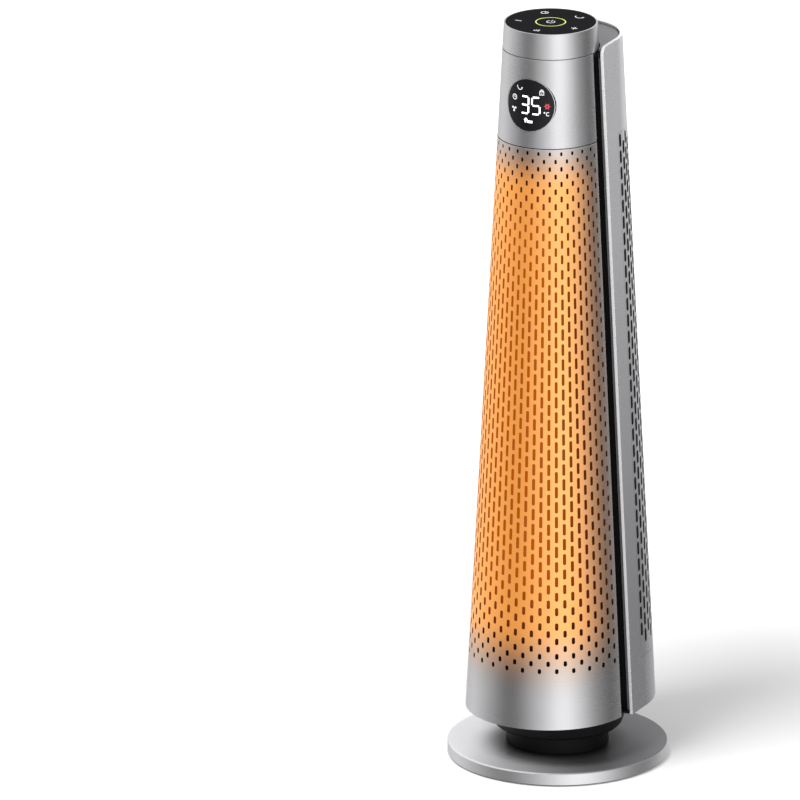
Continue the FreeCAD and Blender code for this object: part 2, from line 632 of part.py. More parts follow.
ring(D.ring_inner, D.ring_outer, panel_top - D.ring_deep, panel_top, "power_light_ring", AXIS)
rod(panel_radius - D.touch_inset, panel_low - D.board_thick, panel_low, ZERO, AXIS, "touch_board")

# Display band, lens, bezel, board and digits.
band_low = D.seam_low + D.seam_gap / 2
band_high = D.seam_high - D.seam_gap / 2
band = tapered(ZERO, D.front_wall, band_low, band_high, front_radius, None, AXIS, D.front_sweep, FRONT)
far_front = -D.base_radius
lens_back = -D.display_board_y
cut(band, [rod_y(D.display_radius + D.gap, far_front, lens_back, ZERO, D.display_z)], "display_shell")
lens_skin = tapered(-D.gap, D.lens_thick, D.seam_low, D.seam_high, front_radius, None, AXIS,
                    D.front_sweep, FRONT)
common(lens_skin, rod_y(D.display_radius, far_front, lens_back, ZERO, D.display_z), "display_lens")
bezel_inside = cone(front_radius(D.seam_low) - D.front_wall - D.gap,
                    front_radius(D.seam_high) - D.front_wall - D.gap, D.seam_low, D.seam_high, y=AXIS)
bezel = cut(rod_y(D.display_radius, far_front, lens_back, ZERO, D.display_z),
            [rod_y(D.display_radius - D.bezel_wall, far_front - D.gap, lens_back + D.gap, ZERO, D.display_z)])
common(bezel, bezel_inside, "display_bezel")
rod_y(D.display_radius, lens_back, lens_back + D.board_thick, ZERO, D.display_z, "display_board")
box(-D.digit_half_x, D.digit_half_x, lens_back - D.digit_deep, lens_back,
    D.display_z - D.digit_half_z, D.display_z + D.digit_half_z, "digit_module")

# Blower: wheel, shaft, motor, bearing and duct.
def blower():
    r = D.wheel_radius.value
    inner = r * D.blade_share.value
    thick = D.blade_thick.value
    low = D.wheel_low.value
    high = D.wheel_high.value
    parts = []
    bow = (r - inner) * D.bow_share.value
    count = int(D.blade_count.value)
    start = V(inner, 0, low)
    mid = V((r + inner) / 2, bow * 0.5, low)
    end = V(r - thick / 2, bow * 0.2, low)
    shift = V(0, thick, 0)
    edges = [Part.Arc(start, mid, end).toShape(), Part.LineSegment(end, end + shift).toShape(),
             Part.Arc(end + shift, mid + shift, start + shift).toShape(),
             Part.LineSegment(start + shift, start).toShape()]
    blade = Part.Face(Part.Wire(edges)).extrude(V(0, 0, high - low))
    for k in range(count):
        turned_blade = blade.copy()
        turned_blade.rotate(V(), V(0, 0, 1), 360.0 * k / count)
        parts.append(turned_blade)
    discs = int(D.disc_count.value)
    plate = D.disc_thick.value
    for k in range(discs):
        z = low + (high - low - plate) * k / (discs - 1)
        disc = Part.makeCylinder(r, plate, V(0, 0, z))
        hole = D.shaft_radius.value if k in (0, discs - 1) else inner
        parts.append(disc.cut(Part.makeCylinder(hole, 3 * plate, V(0, 0, z - plate))))
    return parts[-1].fuse(parts[:-1])


place(solid_feature(blower(), "blower_wheel"), ZERO, D.wheel_y)
rod(D.shaft_radius, D.shaft_low, D.shaft_high, ZERO, D.wheel_y, "blower_shaft")
shaft_hole = D.shaft_radius + D.running_gap
cut(rod(D.motor_radius, D.motor_low, D.motor_high, ZERO, D.wheel_y),
    [rod(shaft_hole, D.motor_low - D.gap, D.motor_high + D.gap, ZERO, D.wheel_y)], "blower_motor")
mount_spots = [(-D.mount_circle, D.wheel_y), (D.mount_circle, D.wheel_y),
               (ZERO, D.wheel_y + D.mount_circle), (ZERO, D.wheel_y - D.mount_circle)]
group([rod(D.mount_radius, D.motor_high, D.duct_low, x, y) for x, y in mount_spots], "motor_mounts")


def duct_plate(z0, z1, hole, label):
    """A plate across the duct, with front corners that clear the guard."""
    wide = D.duct_half
    back = D.wheel_y + D.wheel_radius
    clear = behind_front + D.guard_thick + D.duct_clear
    room = cone(front_radius(z0) - clear, front_radius(z1) - clear, z0, z1, y=AXIS)
    behind = box(-wide, wide, AXIS, back, z0, z1)
    base = common(box(-wide, wide, -D.heater_front, back, z0, z1), fuse([room, behind]))
    return cut(base, [rod(hole, z0 - D.gap, z1 + D.gap, ZERO, D.wheel_y)], label)


duct_plate(D.duct_low, D.duct_low + D.duct_thick, D.duct_hole, "duct_floor")
duct_plate(D.duct_high, D.duct_high + D.duct_thick, D.bearing_radius + D.gap, "duct_roof")
turned([(shaft_hole, D.bearing_low), (D.bearing_radius, D.bearing_low),
        (D.bearing_radius, D.duct_high + D.duct_thick),
        (D.bearing_flange, D.duct_high + D.duct_thick), (D.bearing_flange, D.bearing_high),
        (shaft_hole, D.bearing_high)], "top_bearing", D.wheel_y)
walls_low = D.duct_low + D.duct_thick
swing = D.wheel_radius + D.scroll_gap


def wall_outline(angles, grow, end):
    """A curved wall about the wheel that runs on straight to the heater."""
    inner, outer = [], []
    for i, angle in enumerate(angles):
        r = swing + grow * (i / (len(angles) - 1.0))
        c, s = math.cos(math.radians(angle)), math.sin(math.radians(angle))
        inner.append((r * c, D.wheel_y + r * s))
        outer.append(((r + D.wall_thick) * c, D.wheel_y + (r + D.wall_thick) * s))
    x, y, sign = end
    inner.append((x, y))
    outer.append((x + D.wall_thick * sign, y))
    return inner + outer[::-1]


heater_edge = -D.heater_back
scroll_end = (D.heater_half - D.wall_thick, heater_edge + D.gap, 1)
scroll_angles = [50, 35, 20, 5, -10, -25]
tongue_angles = [190, 200, 210]
padded(wall_outline(scroll_angles, D.scroll_grow, scroll_end),
       walls_low, D.duct_high, "scroll_wall")
tongue_end = (-D.heater_half + D.wall_thick, heater_edge + D.gap, -1)
padded(wall_outline(tongue_angles, D.gap, tongue_end), walls_low, D.duct_high, "tongue_wall")

# Heater: frame, strips, folded fins, tabs and cut-out.
wide = D.heater_half
bar = D.heater_bar
hy0, hy1 = -D.heater_front, -D.heater_back
frame = box(-wide, wide, hy0, hy1, D.heater_low, D.heater_high)
foot_x = wide - D.heater_foot_inset
feet = [box(x - bar, x + bar, hy0 + bar, hy1 - bar, walls_low, D.heater_low) for x in (-foot_x, foot_x)]
cut(fuse([frame] + feet), [box(-wide + bar, wide - bar, hy0 - D.cut_overrun, hy1 + D.cut_overrun,
                               D.heater_low + bar, D.heater_high - bar)], "heater_frame")
count = int(D.strip_count.value)
field = (wide - bar) * 2
pitch = (field - D.strip_wide) / (D.strip_count - 1)
strips = []
for k in range(count):
    x = -wide + bar + pitch * k
    strips.append(box(x, x + D.strip_wide, hy0 + D.strip_inset, hy1 - D.strip_inset,
                      D.heater_low + bar, D.heater_high - bar))
group(strips, "heater_strips")


def fins():
    low = D.heater_low.value + bar.value
    high = D.heater_high.value - bar.value
    thick = D.fin_thick.value
    deep = hy1.value - hy0.value - D.strip_inset.value * 2
    folds = int((high - low) / D.fin_pitch.value)
    plates = []
    for k in range(count - 1):
        x0 = -wide.value + bar.value + pitch.value * k + D.strip_wide.value
        long = pitch.value - D.strip_wide.value
        for i in range(folds):
            spot = V(x0, hy0.value + D.strip_inset.value, low + (i + 0.5) * D.fin_pitch.value)
            plates.append(Part.makeBox(long, deep, thick, spot))
    return Part.makeCompound(plates)


solid_feature(fins(), "heater_fins")
tabs = []
for k in (0, 1, 2):
    x = (pitch * (k + 1)) - wide + bar
    tabs.append(box(x, x + D.tab_wide, hy0 + bar, hy0 + bar + D.tab_thick,
                    D.heater_low - D.tab_long, D.heater_low))
group(tabs, "heater_tabs")
rod(D.cutout_radius, D.heater_high, D.heater_high + D.cutout_thick, ZERO, (hy0 + hy1) / 2, "thermal_cutout")

# Main board on spacers, with its relays and capacitor.
by0, by1 = -D.board_front + D.rail_front, -D.board_back + D.rail_front
box(-D.board_half, D.board_half, by0, by1, D.board_low, D.board_low + D.board_thick, "main_board")
spacer_spots = [(x, y) for x in (-D.board_half + D.spacer_radius, D.board_half - D.spacer_radius)
                for y in (by0 + D.spacer_radius, by1 - D.spacer_radius)]
group([rod(D.spacer_radius, floor_top, D.board_low, x, y) for x, y in spacer_spots], "board_spacers")
board_top = D.board_low + D.board_thick
relays = []
for k in (0, 1):
    x = -D.board_half + D.relay_first + D.relay_pitch * k
    relays.append(box(x, x + D.relay_long, by0 + D.relay_back, by0 + D.relay_back + D.relay_wide,
                      board_top, board_top + D.relay_tall))
group(relays, "heat_relays")
rod(D.cap_radius, board_top, board_top + D.cap_tall, D.board_half - D.cap_inset,
    (by0 + by1) / 2, "board_capacitor")

# Screws that hold the floor to the rails and the duct to the rails.
bolts = []
for sign in (-1, 1):
    x = (rear_half(D.tower_bottom) - D.rear_wall - D.rail_inset) * sign
    y = -D.rail_front + D.rail_depth / 2
    bolts.append(rod(D.screw_head, D.tower_bottom - D.screw_head_thick, D.tower_bottom, x, y))
group(bolts, "floor_screws")

# The blower duct hangs on two arms that reach the rails.
arms = []
for sign in (-1, 1):
    for z in (D.duct_low, D.duct_high):
        reach = rear_half(z) - D.rear_wall - D.rail_wide - D.gap
        near = D.duct_half + D.fine_gap
        x0, x1 = (near, reach) if sign > 0 else (-reach, -near)
        arms.append(box(x0, x1, -D.rail_front, D.rail_depth - D.rail_front, z, z + D.duct_thick))
group(arms, "duct_arms")

doc.recompute()
faults = []
os.makedirs("parts", exist_ok=True)
for node in NODES:
    shape = node.Shape
    if "Invalid" in node.State or "Error" in node.State or shape.isNull() or not shape.isValid():
        faults.append(node.Label)
        continue
    if not shape.Solids:
        faults.append(node.Label + " has no solid")
        continue
    shape.exportStep("parts/%s.step" % node.Label)
print(len(NODES), "nodes", "faults:", faults)
if faults:
    raise RuntimeError("faulty nodes: " + ", ".join(faults))
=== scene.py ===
# %% [markdown]
# A tall tower heater on a round base. The solid model comes in as a frame of named nodes, in metres, and
# this lesson dresses it: finishes for every node, smooth skins for the two slotted panels, the lit symbols
# on the display and on the touch panel, then the studio, the light and the camera.

# %% Load the frame
import math
import json
import numpy as np
import bpy
import bmesh
from mathutils import Matrix, Vector


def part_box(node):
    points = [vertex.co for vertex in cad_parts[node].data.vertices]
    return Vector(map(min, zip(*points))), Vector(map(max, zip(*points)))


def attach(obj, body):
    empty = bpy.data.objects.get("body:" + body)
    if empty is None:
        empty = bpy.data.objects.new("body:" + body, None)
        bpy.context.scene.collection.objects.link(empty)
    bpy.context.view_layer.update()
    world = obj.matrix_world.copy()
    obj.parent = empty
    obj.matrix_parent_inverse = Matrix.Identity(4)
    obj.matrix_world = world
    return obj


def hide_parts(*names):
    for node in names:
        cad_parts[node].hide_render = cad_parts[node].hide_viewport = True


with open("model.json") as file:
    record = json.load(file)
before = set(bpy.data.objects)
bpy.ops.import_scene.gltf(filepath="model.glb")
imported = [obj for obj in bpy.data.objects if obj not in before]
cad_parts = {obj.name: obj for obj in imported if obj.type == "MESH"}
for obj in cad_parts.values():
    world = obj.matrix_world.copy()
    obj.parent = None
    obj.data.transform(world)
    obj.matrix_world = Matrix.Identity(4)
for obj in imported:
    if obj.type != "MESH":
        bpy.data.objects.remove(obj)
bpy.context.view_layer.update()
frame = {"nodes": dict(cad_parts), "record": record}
nodes = frame["nodes"]

# %% [markdown]
# A material is a small web of nodes. Writing the sums as Python keeps the web readable: the Wire class
# holds one socket, and adding or multiplying two wires adds the Math node that does it.

# %% A class for shader sums
class Wire:
    """One output socket of a material, which can be added, multiplied and so on."""

    def __init__(self, tree, socket):
        self.tree = tree
        self.socket = socket

    def node(self, kind, settings=None, out=0, **sockets):
        """Adds a node. Its sockets are given by name, or by number as i0, i1 and so on."""
        made = self.tree.nodes.new(kind)
        for key, value in (settings or {}).items():
            if key == "stops":
                fill_ramp(made.color_ramp, value)
            else:
                setattr(made, key, value)
        for key, value in sockets.items():
            which = int(key[1:]) if key[1:].isdigit() else key.replace("_", " ")
            target = made.inputs[which]
            if isinstance(value, Wire):
                self.tree.links.new(value.socket, target)
            else:
                target.default_value = value
        return Wire(self.tree, made.outputs[out])

    def sum(self, operation, other=None, flip=False):
        first, second = (other, self) if flip else (self, other)
        values = {"i0": first}
        if second is not None:
            values["i1"] = second
        return self.node("ShaderNodeMath", {"operation": operation}, **values)

    def __add__(self, other):
        return self.sum("ADD", other)

    __radd__ = __add__

    def __mul__(self, other):
        return self.sum("MULTIPLY", other)

    __rmul__ = __mul__

    def __sub__(self, other):
        return self.sum("SUBTRACT", other)

    def __rsub__(self, other):
        return self.sum("SUBTRACT", other, flip=True)

    def __truediv__(self, other):
        return self.sum("DIVIDE", other)

    def rise(self, low, high):
        """0 below low, 1 above high, and a soft step between."""
        settings = {"interpolation_type": "SMOOTHSTEP"}
        return self.node("ShaderNodeMapRange", settings, Value=self, From_Min=low, From_Max=high)

    def mix(self, first, second):
        """The colour first where this wire is 0 and second where it is 1."""
        settings = {"data_type": "RGBA"}
        return self.node("ShaderNodeMix", settings, out=2, i0=self, i6=first, i7=second)


print("Wire can add, multiply, subtract, divide, rise and mix")

# %% [markdown]
# Three small tools come with it. A colour ramp is filled from a list of stops. A colour is written as it
# looks on screen, 0 to 255, because that is how the eye judges it; the shader wants linear light. And a
# colour can be made a little darker or lighter, for the slow changes of tone that every real surface has.

# %% Ramps and colours
DARK = (0.0, 0.0, 0.0, 1.0)
WHITE = (1.0, 1.0, 1.0, 1.0)


def fill_ramp(ramp, stops):
    while len(ramp.elements) < len(stops):
        ramp.elements.new(0.5)
    for element, (spot, colour) in zip(ramp.elements, stops):
        element.position = spot
        element.color = colour


def rgb(red, green, blue):
    """A colour written as it looks on screen, 0 to 255, as linear light."""
    linear = []
    for value in (red, green, blue):
        share = value / 255
        linear.append(share / 12.92 if share <= 0.04045 else ((share + 0.055) / 1.055) ** 2.4)
    return (*linear, 1.0)


def shaded(colour, share, lift=0.0):
    """The same colour, darker or lighter by a share."""
    return (*[min(1.0, share * value + lift) for value in colour[:3]], 1.0)


print("mid grey is", round(rgb(128, 128, 128)[0], 3), "in linear light")

# %% [markdown]
# Every finish here is one Principled shader with a few wires into it. The Finish class makes the material,
# sets the plain sockets, and gives the things that a finish needs: a place on the part, a noise and a bump.

# %% A class for finishes
class Finish:
    """A material with one Principled shader, and wires to feed it."""

    def __init__(self, name, colour, **sockets):
        self.material = bpy.data.materials.new(name)
        self.material.use_nodes = True
        self.tree = self.material.node_tree
        self.shader = self.tree.nodes["Principled BSDF"]
        self.start = Wire(self.tree, self.shader.outputs[0])
        self.set(Base_Color=colour, **sockets)

    def set(self, **sockets):
        for key, value in sockets.items():
            target = self.shader.inputs[key.replace("_", " ")]
            if isinstance(value, Wire):
                self.tree.links.new(value.socket, target)
            else:
                target.default_value = value
        return self

    def spot(self):
        """Object coordinates, in metres."""
        return self.start.node("ShaderNodeTexCoord", out=3)

    def axes(self):
        """Object coordinates, split into x, y and z."""
        split = self.start.node("ShaderNodeSeparateXYZ", Vector=self.spot()).socket.node
        return [Wire(self.tree, split.outputs[i]) for i in range(3)]

    def noise(self, scale, stretch=(1, 1, 1), detail=2.0):
        stretched = self.start.node("ShaderNodeMapping", Vector=self.spot(), Scale=stretch)
        return self.start.node("ShaderNodeTexNoise", Vector=stretched, Scale=scale, Detail=detail)

    def bump(self, height, strength, distance):
        return self.start.node("ShaderNodeBump", Height=height, Strength=strength, Distance=distance)


print("Finish feeds one Principled shader")

# %% [markdown]
# The skin of the tower is satin silver. It was brushed round its axis, so the grain is fine level lines:
# noise that is stretched flat. The grain changes the roughness a little and raises a faint bump; the long
# upright bands of light and dark come from the studio, not from the paint. A grey tint keeps the metal from
# flaring to white where it turns away from the eye.

# %% Silver finishes
SILVER = rgb(212, 212, 214)
METAL = 0.92
FLARE_TINT = (0.7, 0.7, 0.7, 1.0)
GRAIN, LEVEL_LINES = 900.0, (0.02, 0.02, 1.0)
CLOUD = 14.0


def silver(name, colour=SILVER, rough=0.28):
    finish = Finish(name, colour, Metallic=METAL, Specular_Tint=FLARE_TINT)
    lines = finish.noise(GRAIN, LEVEL_LINES)
    cloud = finish.noise(CLOUD)
    finish.set(Roughness=rough + 0.03 * (lines - 0.5) + 0.04 * (cloud - 0.5))
    finish.set(Normal=finish.bump(lines, 0.03, 0.00002))
    return finish.set(Base_Color=cloud.rise(0.2, 0.8).mix(shaded(colour, 0.94), colour))


def toned(finish, mask, colour):
    """Mixes a second tone into the base colour where the mask is 1."""
    plain = Wire(finish.tree, finish.shader.inputs["Base Color"].links[0].from_socket)
    return finish.set(Base_Color=mask.mix(plain, colour))


skin = silver("satin_silver")
lid_finish = silver("lid_silver", rgb(150, 150, 152), 0.45)
print("silver finishes", skin.material.name, lid_finish.material.name)

# %% [markdown]
# The rear shell is a sheet with a rounded corner at its top front, and its cut edge carries a painted
# highlight, a paler and less metallic tone. The mask finds that edge by the distance from the middle of the
# rounding, so one sum covers the upright edge, the corner and the rim. The flat sides get painted shade, a
# darker second tone towards the floor.

# %% Rear shell with a painted edge highlight
EDGE_Y, RIM_Z, ROUND = -0.0172, 0.8745, 0.010
EDGE_IN, EDGE_OUT = 0.0009, 0.0004
EDGE_HIGHLIGHT_TONE = rgb(208, 208, 210)
SIDE_TONE, SIDE_PAINTED_SHADE_TONE = rgb(242, 242, 244), rgb(173, 173, 176)
SIDE_SHADE_FADE = (0.10, 0.86)

edge_skin = silver("edge_silver", SIDE_TONE)
y, z = edge_skin.axes()[1:]
# painted shade: the flat sides grow darker towards the floor
toned(edge_skin, 1 - z.rise(*SIDE_SHADE_FADE), SIDE_PAINTED_SHADE_TONE)
front = (EDGE_Y + ROUND - y).sum("MAXIMUM", 0.0)
top = (z - (RIM_Z - ROUND)).sum("MAXIMUM", 0.0)
reach = (front * front + top * top).sum("SQRT")
# painted highlight along the cut edge: a paler tone, and less metallic there
edge_highlight_mask = reach.rise(ROUND - EDGE_IN, ROUND - EDGE_OUT)
toned(edge_skin, edge_highlight_mask, EDGE_HIGHLIGHT_TONE)
edge_skin.set(Metallic=METAL - 0.75 * edge_highlight_mask)
print("painted edge highlight on", edge_skin.material.name)

# %% [markdown]
# The base cover is spun metal, brushed in rings. Its tone carries a painted reflection: a light fan and a
# dark fan,
# turning with the angle round the middle: the cosine and sine of that angle are just x and y over the
# radius.
# Round the stem a painted shadow darkens the cover, and it fades out over three centimetres. The top is
# duller than the rim, so it is a little less metallic.

# %% Spun base
BASE_TONE, FAN_PAINTED_REFLECTION_TONE, PAINTED_SHADOW_TONE = rgb(230, 230, 232), rgb(122, 122, 125), rgb(34, 34, 35)
FAN_X, FAN_Y = 0.90, 0.43
PAINTED_SHADOW_FADE = (0.060, 0.090)
DULL_TOP = 0.35

base_finish = silver("base_silver", BASE_TONE, 0.40)
x, y, z = base_finish.axes()
out = (x * x + y * y).sum("SQRT") + 0.001
# painted reflection: the tone turns with the angle round the middle, a light fan and a dark fan
fan = (FAN_X * x + FAN_Y * y) / out
cover_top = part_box("base_cover")[1].z
on_top = z.rise(cover_top - 0.0020, cover_top - 0.0005)
toned(base_finish, fan.rise(-0.80, 0.45) * on_top, FAN_PAINTED_REFLECTION_TONE)
# painted shadow round the stem, fading out over three centimetres
toned(base_finish, (1 - out.rise(*PAINTED_SHADOW_FADE)) * on_top, PAINTED_SHADOW_TONE)
base_finish.set(Metallic=METAL - DULL_TOP * on_top)
print("base finish", base_finish.material.name, "top at", round(cover_top, 4))

# %% [markdown]
# The front grille is the same silver, with a painted glow: the heater's light behind it is painted on as an
# amber tint and as emission, though the grille is no lamp, and the glow dies out towards the ends and the
# sides. The mask is worked out from the height and from the angle round the front axis, so the glow stays
# on the part from any side.

# %% Amber glow on the grille
FRONT_Y = -0.024
LEAN = math.radians(8)
SIDE_DIM = 0.88
GRILLE_LOW, GRILLE_HIGH, GRILLE_SIDES = (0.095, 0.195), (0.712, 0.785), (49, 101)
AMBER_GLOW_TINT, AMBER_LIGHT = (0.43, 0.26, 0.115, 1.0), (0.74, 0.265, 0.045, 1.0)


def glow_mask(finish, low, high, sides):
    """1 in the middle of the front, 0 past the two heights and dim past the two angles."""
    x, y, z = finish.axes()
    angle = (x.sum("ARCTAN2", FRONT_Y - y) + LEAN).sum("ABSOLUTE")
    side = 1 - SIDE_DIM * angle.rise(math.radians(sides[0]), math.radians(sides[1]))
    return z.rise(*low) * (1 - z.rise(*high)) * side


grille_finish = silver("grille_silver")
mask = glow_mask(grille_finish, GRILLE_LOW, GRILLE_HIGH, GRILLE_SIDES)
# painted glow: an amber tint in the colour and emission on the silver, which is no lamp
toned(grille_finish, mask, AMBER_GLOW_TINT)
grille_finish.set(Emission_Color=(mask * mask).mix(DARK, AMBER_LIGHT), Emission_Strength=1.0)
print("glow on", grille_finish.material.name)

# %% [markdown]
# The wire guard behind the slots and the cut walls of the slots carry a painted glow too, as emission,
# though neither is a lamp. The guard glows on its outer face only: the mask compares the distance from the
# axis with the middle of the guard's thickness. The front is a cone, so that distance shrinks with the
# height by a fixed slope.

# %% Amber glow behind the slots
R_LOW, R_HIGH, Z_LOW, Z_HIGH = 0.0975, 0.0545, 0.066, 0.900
SLOPE = (R_LOW - R_HIGH) / (Z_HIGH - Z_LOW)
GLOW_LOW, GLOW_HIGH = (0.150, 0.260), (0.650, 0.745)
GUARD_SIDES, WALL_SIDES = (26, 74), (30, 78)
GUARD_DEPTH, GUARD_FADE = 0.0031, 0.0002
GUARD_LIGHT, WALL_LIGHT = rgb(176, 84, 12), rgb(166, 76, 10)


def front_radius(z):
    """The front skin is a cone: this is its radius at a height."""
    return R_LOW - (z - Z_LOW) * SLOPE


mesh_finish = Finish("guard_dark", rgb(10, 8, 6), Roughness=0.6, Specular_IOR_Level=0.1)
x, y, z = mesh_finish.axes()
depth = y - FRONT_Y
reach = (x * x + depth * depth).sum("SQRT") + SLOPE * z
middle = front_radius(0.0) - GUARD_DEPTH
outer = reach.rise(middle - GUARD_FADE, middle + GUARD_FADE)
# painted glow on the guard's outer face, as emission
mask = glow_mask(mesh_finish, GLOW_LOW, GLOW_HIGH, GUARD_SIDES) * outer
mesh_finish.set(Emission_Color=mask.mix(DARK, GUARD_LIGHT), Emission_Strength=1.0)
wall_finish = Finish("slot_wall", rgb(24, 18, 12), Roughness=0.6, Specular_IOR_Level=0.1)
# painted glow on the slot walls, as emission
mask = glow_mask(wall_finish, GLOW_LOW, GLOW_HIGH, WALL_SIDES)
wall_finish.set(Emission_Color=mask.mix(DARK, WALL_LIGHT), Emission_Strength=1.0)
print("glow on", mesh_finish.material.name, wall_finish.material.name)

# %% [markdown]
# The black pieces are moulded plastic with a fine grain; the panel and the lens are gloss. Their blacks
# aren't one flat colour: a slow noise moves the tone a little and a quick noise makes the moulded grain.
# The marks on the panels are lit from behind, so they shine a little by themselves.

# %% Plastics and lit marks
def moulded(name, colour, rough=0.45, grain=2600.0, depth=0.00006, metal=0.0, shine=0.5):
    finish = Finish(name, colour, Metallic=metal, Specular_IOR_Level=shine)
    fine = finish.noise(grain)
    slow = finish.noise(30.0)
    finish.set(Base_Color=slow.mix(colour, shaded(colour, 1.25, 0.002)))
    finish.set(Roughness=rough + 0.12 * (slow - 0.5))
    return finish.set(Normal=finish.bump(fine, 0.35, depth))


def gloss(name, colour, rough, shine):
    finish = Finish(name, colour, Specular_IOR_Level=shine)
    slow = finish.noise(25.0)
    return finish.set(Roughness=rough + 0.05 * (slow - 0.4))


def lit(name, colour, strength):
    finish = Finish(name, colour, Roughness=0.4)
    slow = finish.noise(60.0, detail=1.0)
    return finish.set(Emission_Color=slow.mix(shaded(colour, 0.9), colour), Emission_Strength=strength)


black = moulded("black_moulding", rgb(19, 19, 20), shine=0.16)
grey_black = moulded("dark_seal", rgb(96, 96, 98), 0.55)
rubber = moulded("foot_rubber", rgb(30, 30, 31), 0.8, 1400.0, 0.0001)
inside_grey = moulded("inside_grey", rgb(34, 34, 35), 0.6)
panel_black = gloss("panel_black", rgb(27, 27, 29), 0.50, 0.0)
lens_black = gloss("lens_black", rgb(18, 18, 20), 0.14, 0.24)
ring_light = lit("lime_light", rgb(186, 192, 84), 0.42)
white_light = lit("white_light", rgb(236, 238, 240), 0.70)
soft_white = lit("printed_white", rgb(190, 191, 193), 0.40)
red_light = lit("red_light", rgb(160, 50, 60), 0.10)
print("plastics and lights", len(bpy.data.materials))

# %% [markdown]
# What is left are the hidden materials: steel, iron, white nylon, aluminium fins, ceramic, filter cloth and
# circuit boards. Each node of the frame names its material slot, so one table dresses them all, and a
# second table holds the few nodes whose finish is their own.

# %% Finishes for every node
steel = moulded("plain_steel", rgb(160, 160, 162), 0.35, 1800.0, 0.00003, 1.0)
iron = moulded("painted_iron", rgb(60, 60, 62), 0.6, 900.0, 0.0001, 0.4)
white = moulded("white_nylon", rgb(222, 221, 216), 0.4)
fin = moulded("fin_aluminium", rgb(196, 196, 196), 0.4, 1500.0, 0.00003, 1.0)
ceramic = moulded("pale_ceramic", rgb(224, 216, 202), 0.6)
brown = moulded("brown_frame", rgb(70, 48, 34), 0.5)
cloth = moulded("filter_cloth", rgb(16, 16, 16), 0.95, 900.0, 0.0003)
board = moulded("green_board", rgb(26, 92, 50), 0.4, 700.0, 0.00005)

finishes = {
    "silver_skin": skin, "silver_lid": lid_finish, "black_plastic": black, "black_glass": lens_black,
    "rubber": rubber, "steel": steel, "iron": iron, "white_plastic": white, "motor_metal": steel,
    "wheel_metal": fin, "fin_metal": fin, "heater_ceramic": ceramic, "heater_frame": brown,
    "mesh_metal": mesh_finish, "filter_cloth": cloth, "circuit_board": board, "light_ring": ring_light,
}
special = {
    "base_cover": base_finish, "control_panel": panel_black, "front_grille": grille_finish,
    "edge_seal_left": grey_black, "edge_seal_right": grey_black,
    "rear_shell": edge_skin, "rear_hood": edge_skin, "intake_grille": edge_skin,
}
for part in frame["record"]["subparts"]:
    name = part["node"]
    finish = special.get(name, finishes[part["material_slot"]])
    mesh = nodes[name].data
    mesh.materials.clear()
    mesh.materials.append(finish.material)
print("finishes", len(bpy.data.materials))

# %% [markdown]
# The two slotted panels are solids made of flat strips, a few degrees wide. The real skins are smooth
# cones. A copy of each panel keeps every slot, and its corner normals are set to those of the cone, so that
# light runs over the strips as over one curved sheet. The faces that look inwards get a dull grey, as the
# unpolished side has, and the walls of the front slots are dark and carry the painted amber glow.

# %% Smooth skins for the slotted panels
REAR_Y = 0.0225
ON_CONE = 0.985
OUTWARD = 0.5


def read(items, name, kind=float, width=3):
    """One number or one vector of each item, as an array."""
    values = np.zeros(len(items) * width, kind)
    items.foreach_get(name, values)
    return values.reshape(-1, width) if width > 1 else values


def smooth_skin(name, centre_y, behind, walls):
    """behind is 1 for the back panel, whose flat sides run forward from the curve, and -1 for the front."""
    bm = bmesh.new()
    bm.from_mesh(nodes[name].data)
    bmesh.ops.remove_doubles(bm, verts=bm.verts[:], dist=1e-6)
    mesh = bpy.data.meshes.new(name + "_skin")
    bm.to_mesh(mesh)
    bm.free()
    mesh.shade_smooth()
    corners = len(mesh.loops)
    sizes = read(mesh.polygons, "loop_total", int, 1)
    normals = np.repeat(read(mesh.polygons, "normal"), sizes, axis=0)
    vertex_of = read(mesh.loops, "vertex_index", int, 1)
    here = read(mesh.vertices, "co")[vertex_of] - np.array([0.0, centre_y, 0.0])
    here[:, 1] = np.maximum(here[:, 1] * behind, 0.0) * behind
    reach = np.hypot(here[:, 0], here[:, 1])
    cone = np.stack([here[:, 0] / reach, here[:, 1] / reach, np.full(corners, SLOPE)], 1)
    cone /= np.linalg.norm(cone, axis=1)[:, None]
    facing = (normals * cone).sum(1)
    on_skin = np.abs(facing) > ON_CONE
    normals[on_skin] = cone[on_skin] * np.sign(facing[on_skin])[:, None]
    mesh.normals_split_custom_set([tuple(n) for n in normals])
    for finish in (nodes[name].data.materials[0], walls.material, inside_grey.material):
        mesh.materials.append(finish)
    outwards = facing[read(mesh.polygons, "loop_start", int, 1)]
    index = (outwards < OUTWARD).astype(np.int32) + (outwards < -OUTWARD)
    mesh.polygons.foreach_set("material_index", index)
    piece = bpy.data.objects.new(mesh.name, mesh)
    bpy.context.scene.collection.objects.link(piece)
    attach(piece, "tower")
    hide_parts(name)
    print(name, "corners on the skin", int(on_skin.sum()), "of", corners)


smooth_skin("front_grille", FRONT_Y, -1, wall_finish)
smooth_skin("intake_grille", REAR_Y, 1, inside_grey)

# %% [markdown]
# The symbols are thin raised marks. Each is drawn flat with three simple tools, a bar, an arc and a dot, in
# units of the panel it sits on. A spin turns one short edge into an arc; a circle makes a dot.

# %% Drawing tools for the symbols
def bar(bm, x0, y0, x1, y1, wide):
    along = Vector((x1 - x0, y1 - y0, 0))
    made = bmesh.ops.create_grid(bm, x_segments=1, y_segments=1, size=0.5)["verts"]
    bmesh.ops.scale(bm, vec=(along.length, wide, 1), verts=made)
    turn = Matrix.Rotation(math.atan2(along.y, along.x), 3, "Z")
    bmesh.ops.rotate(bm, cent=(0, 0, 0), matrix=turn, verts=made)
    bmesh.ops.translate(bm, vec=((x0 + x1) / 2, (y0 + y1) / 2, 0), verts=made)


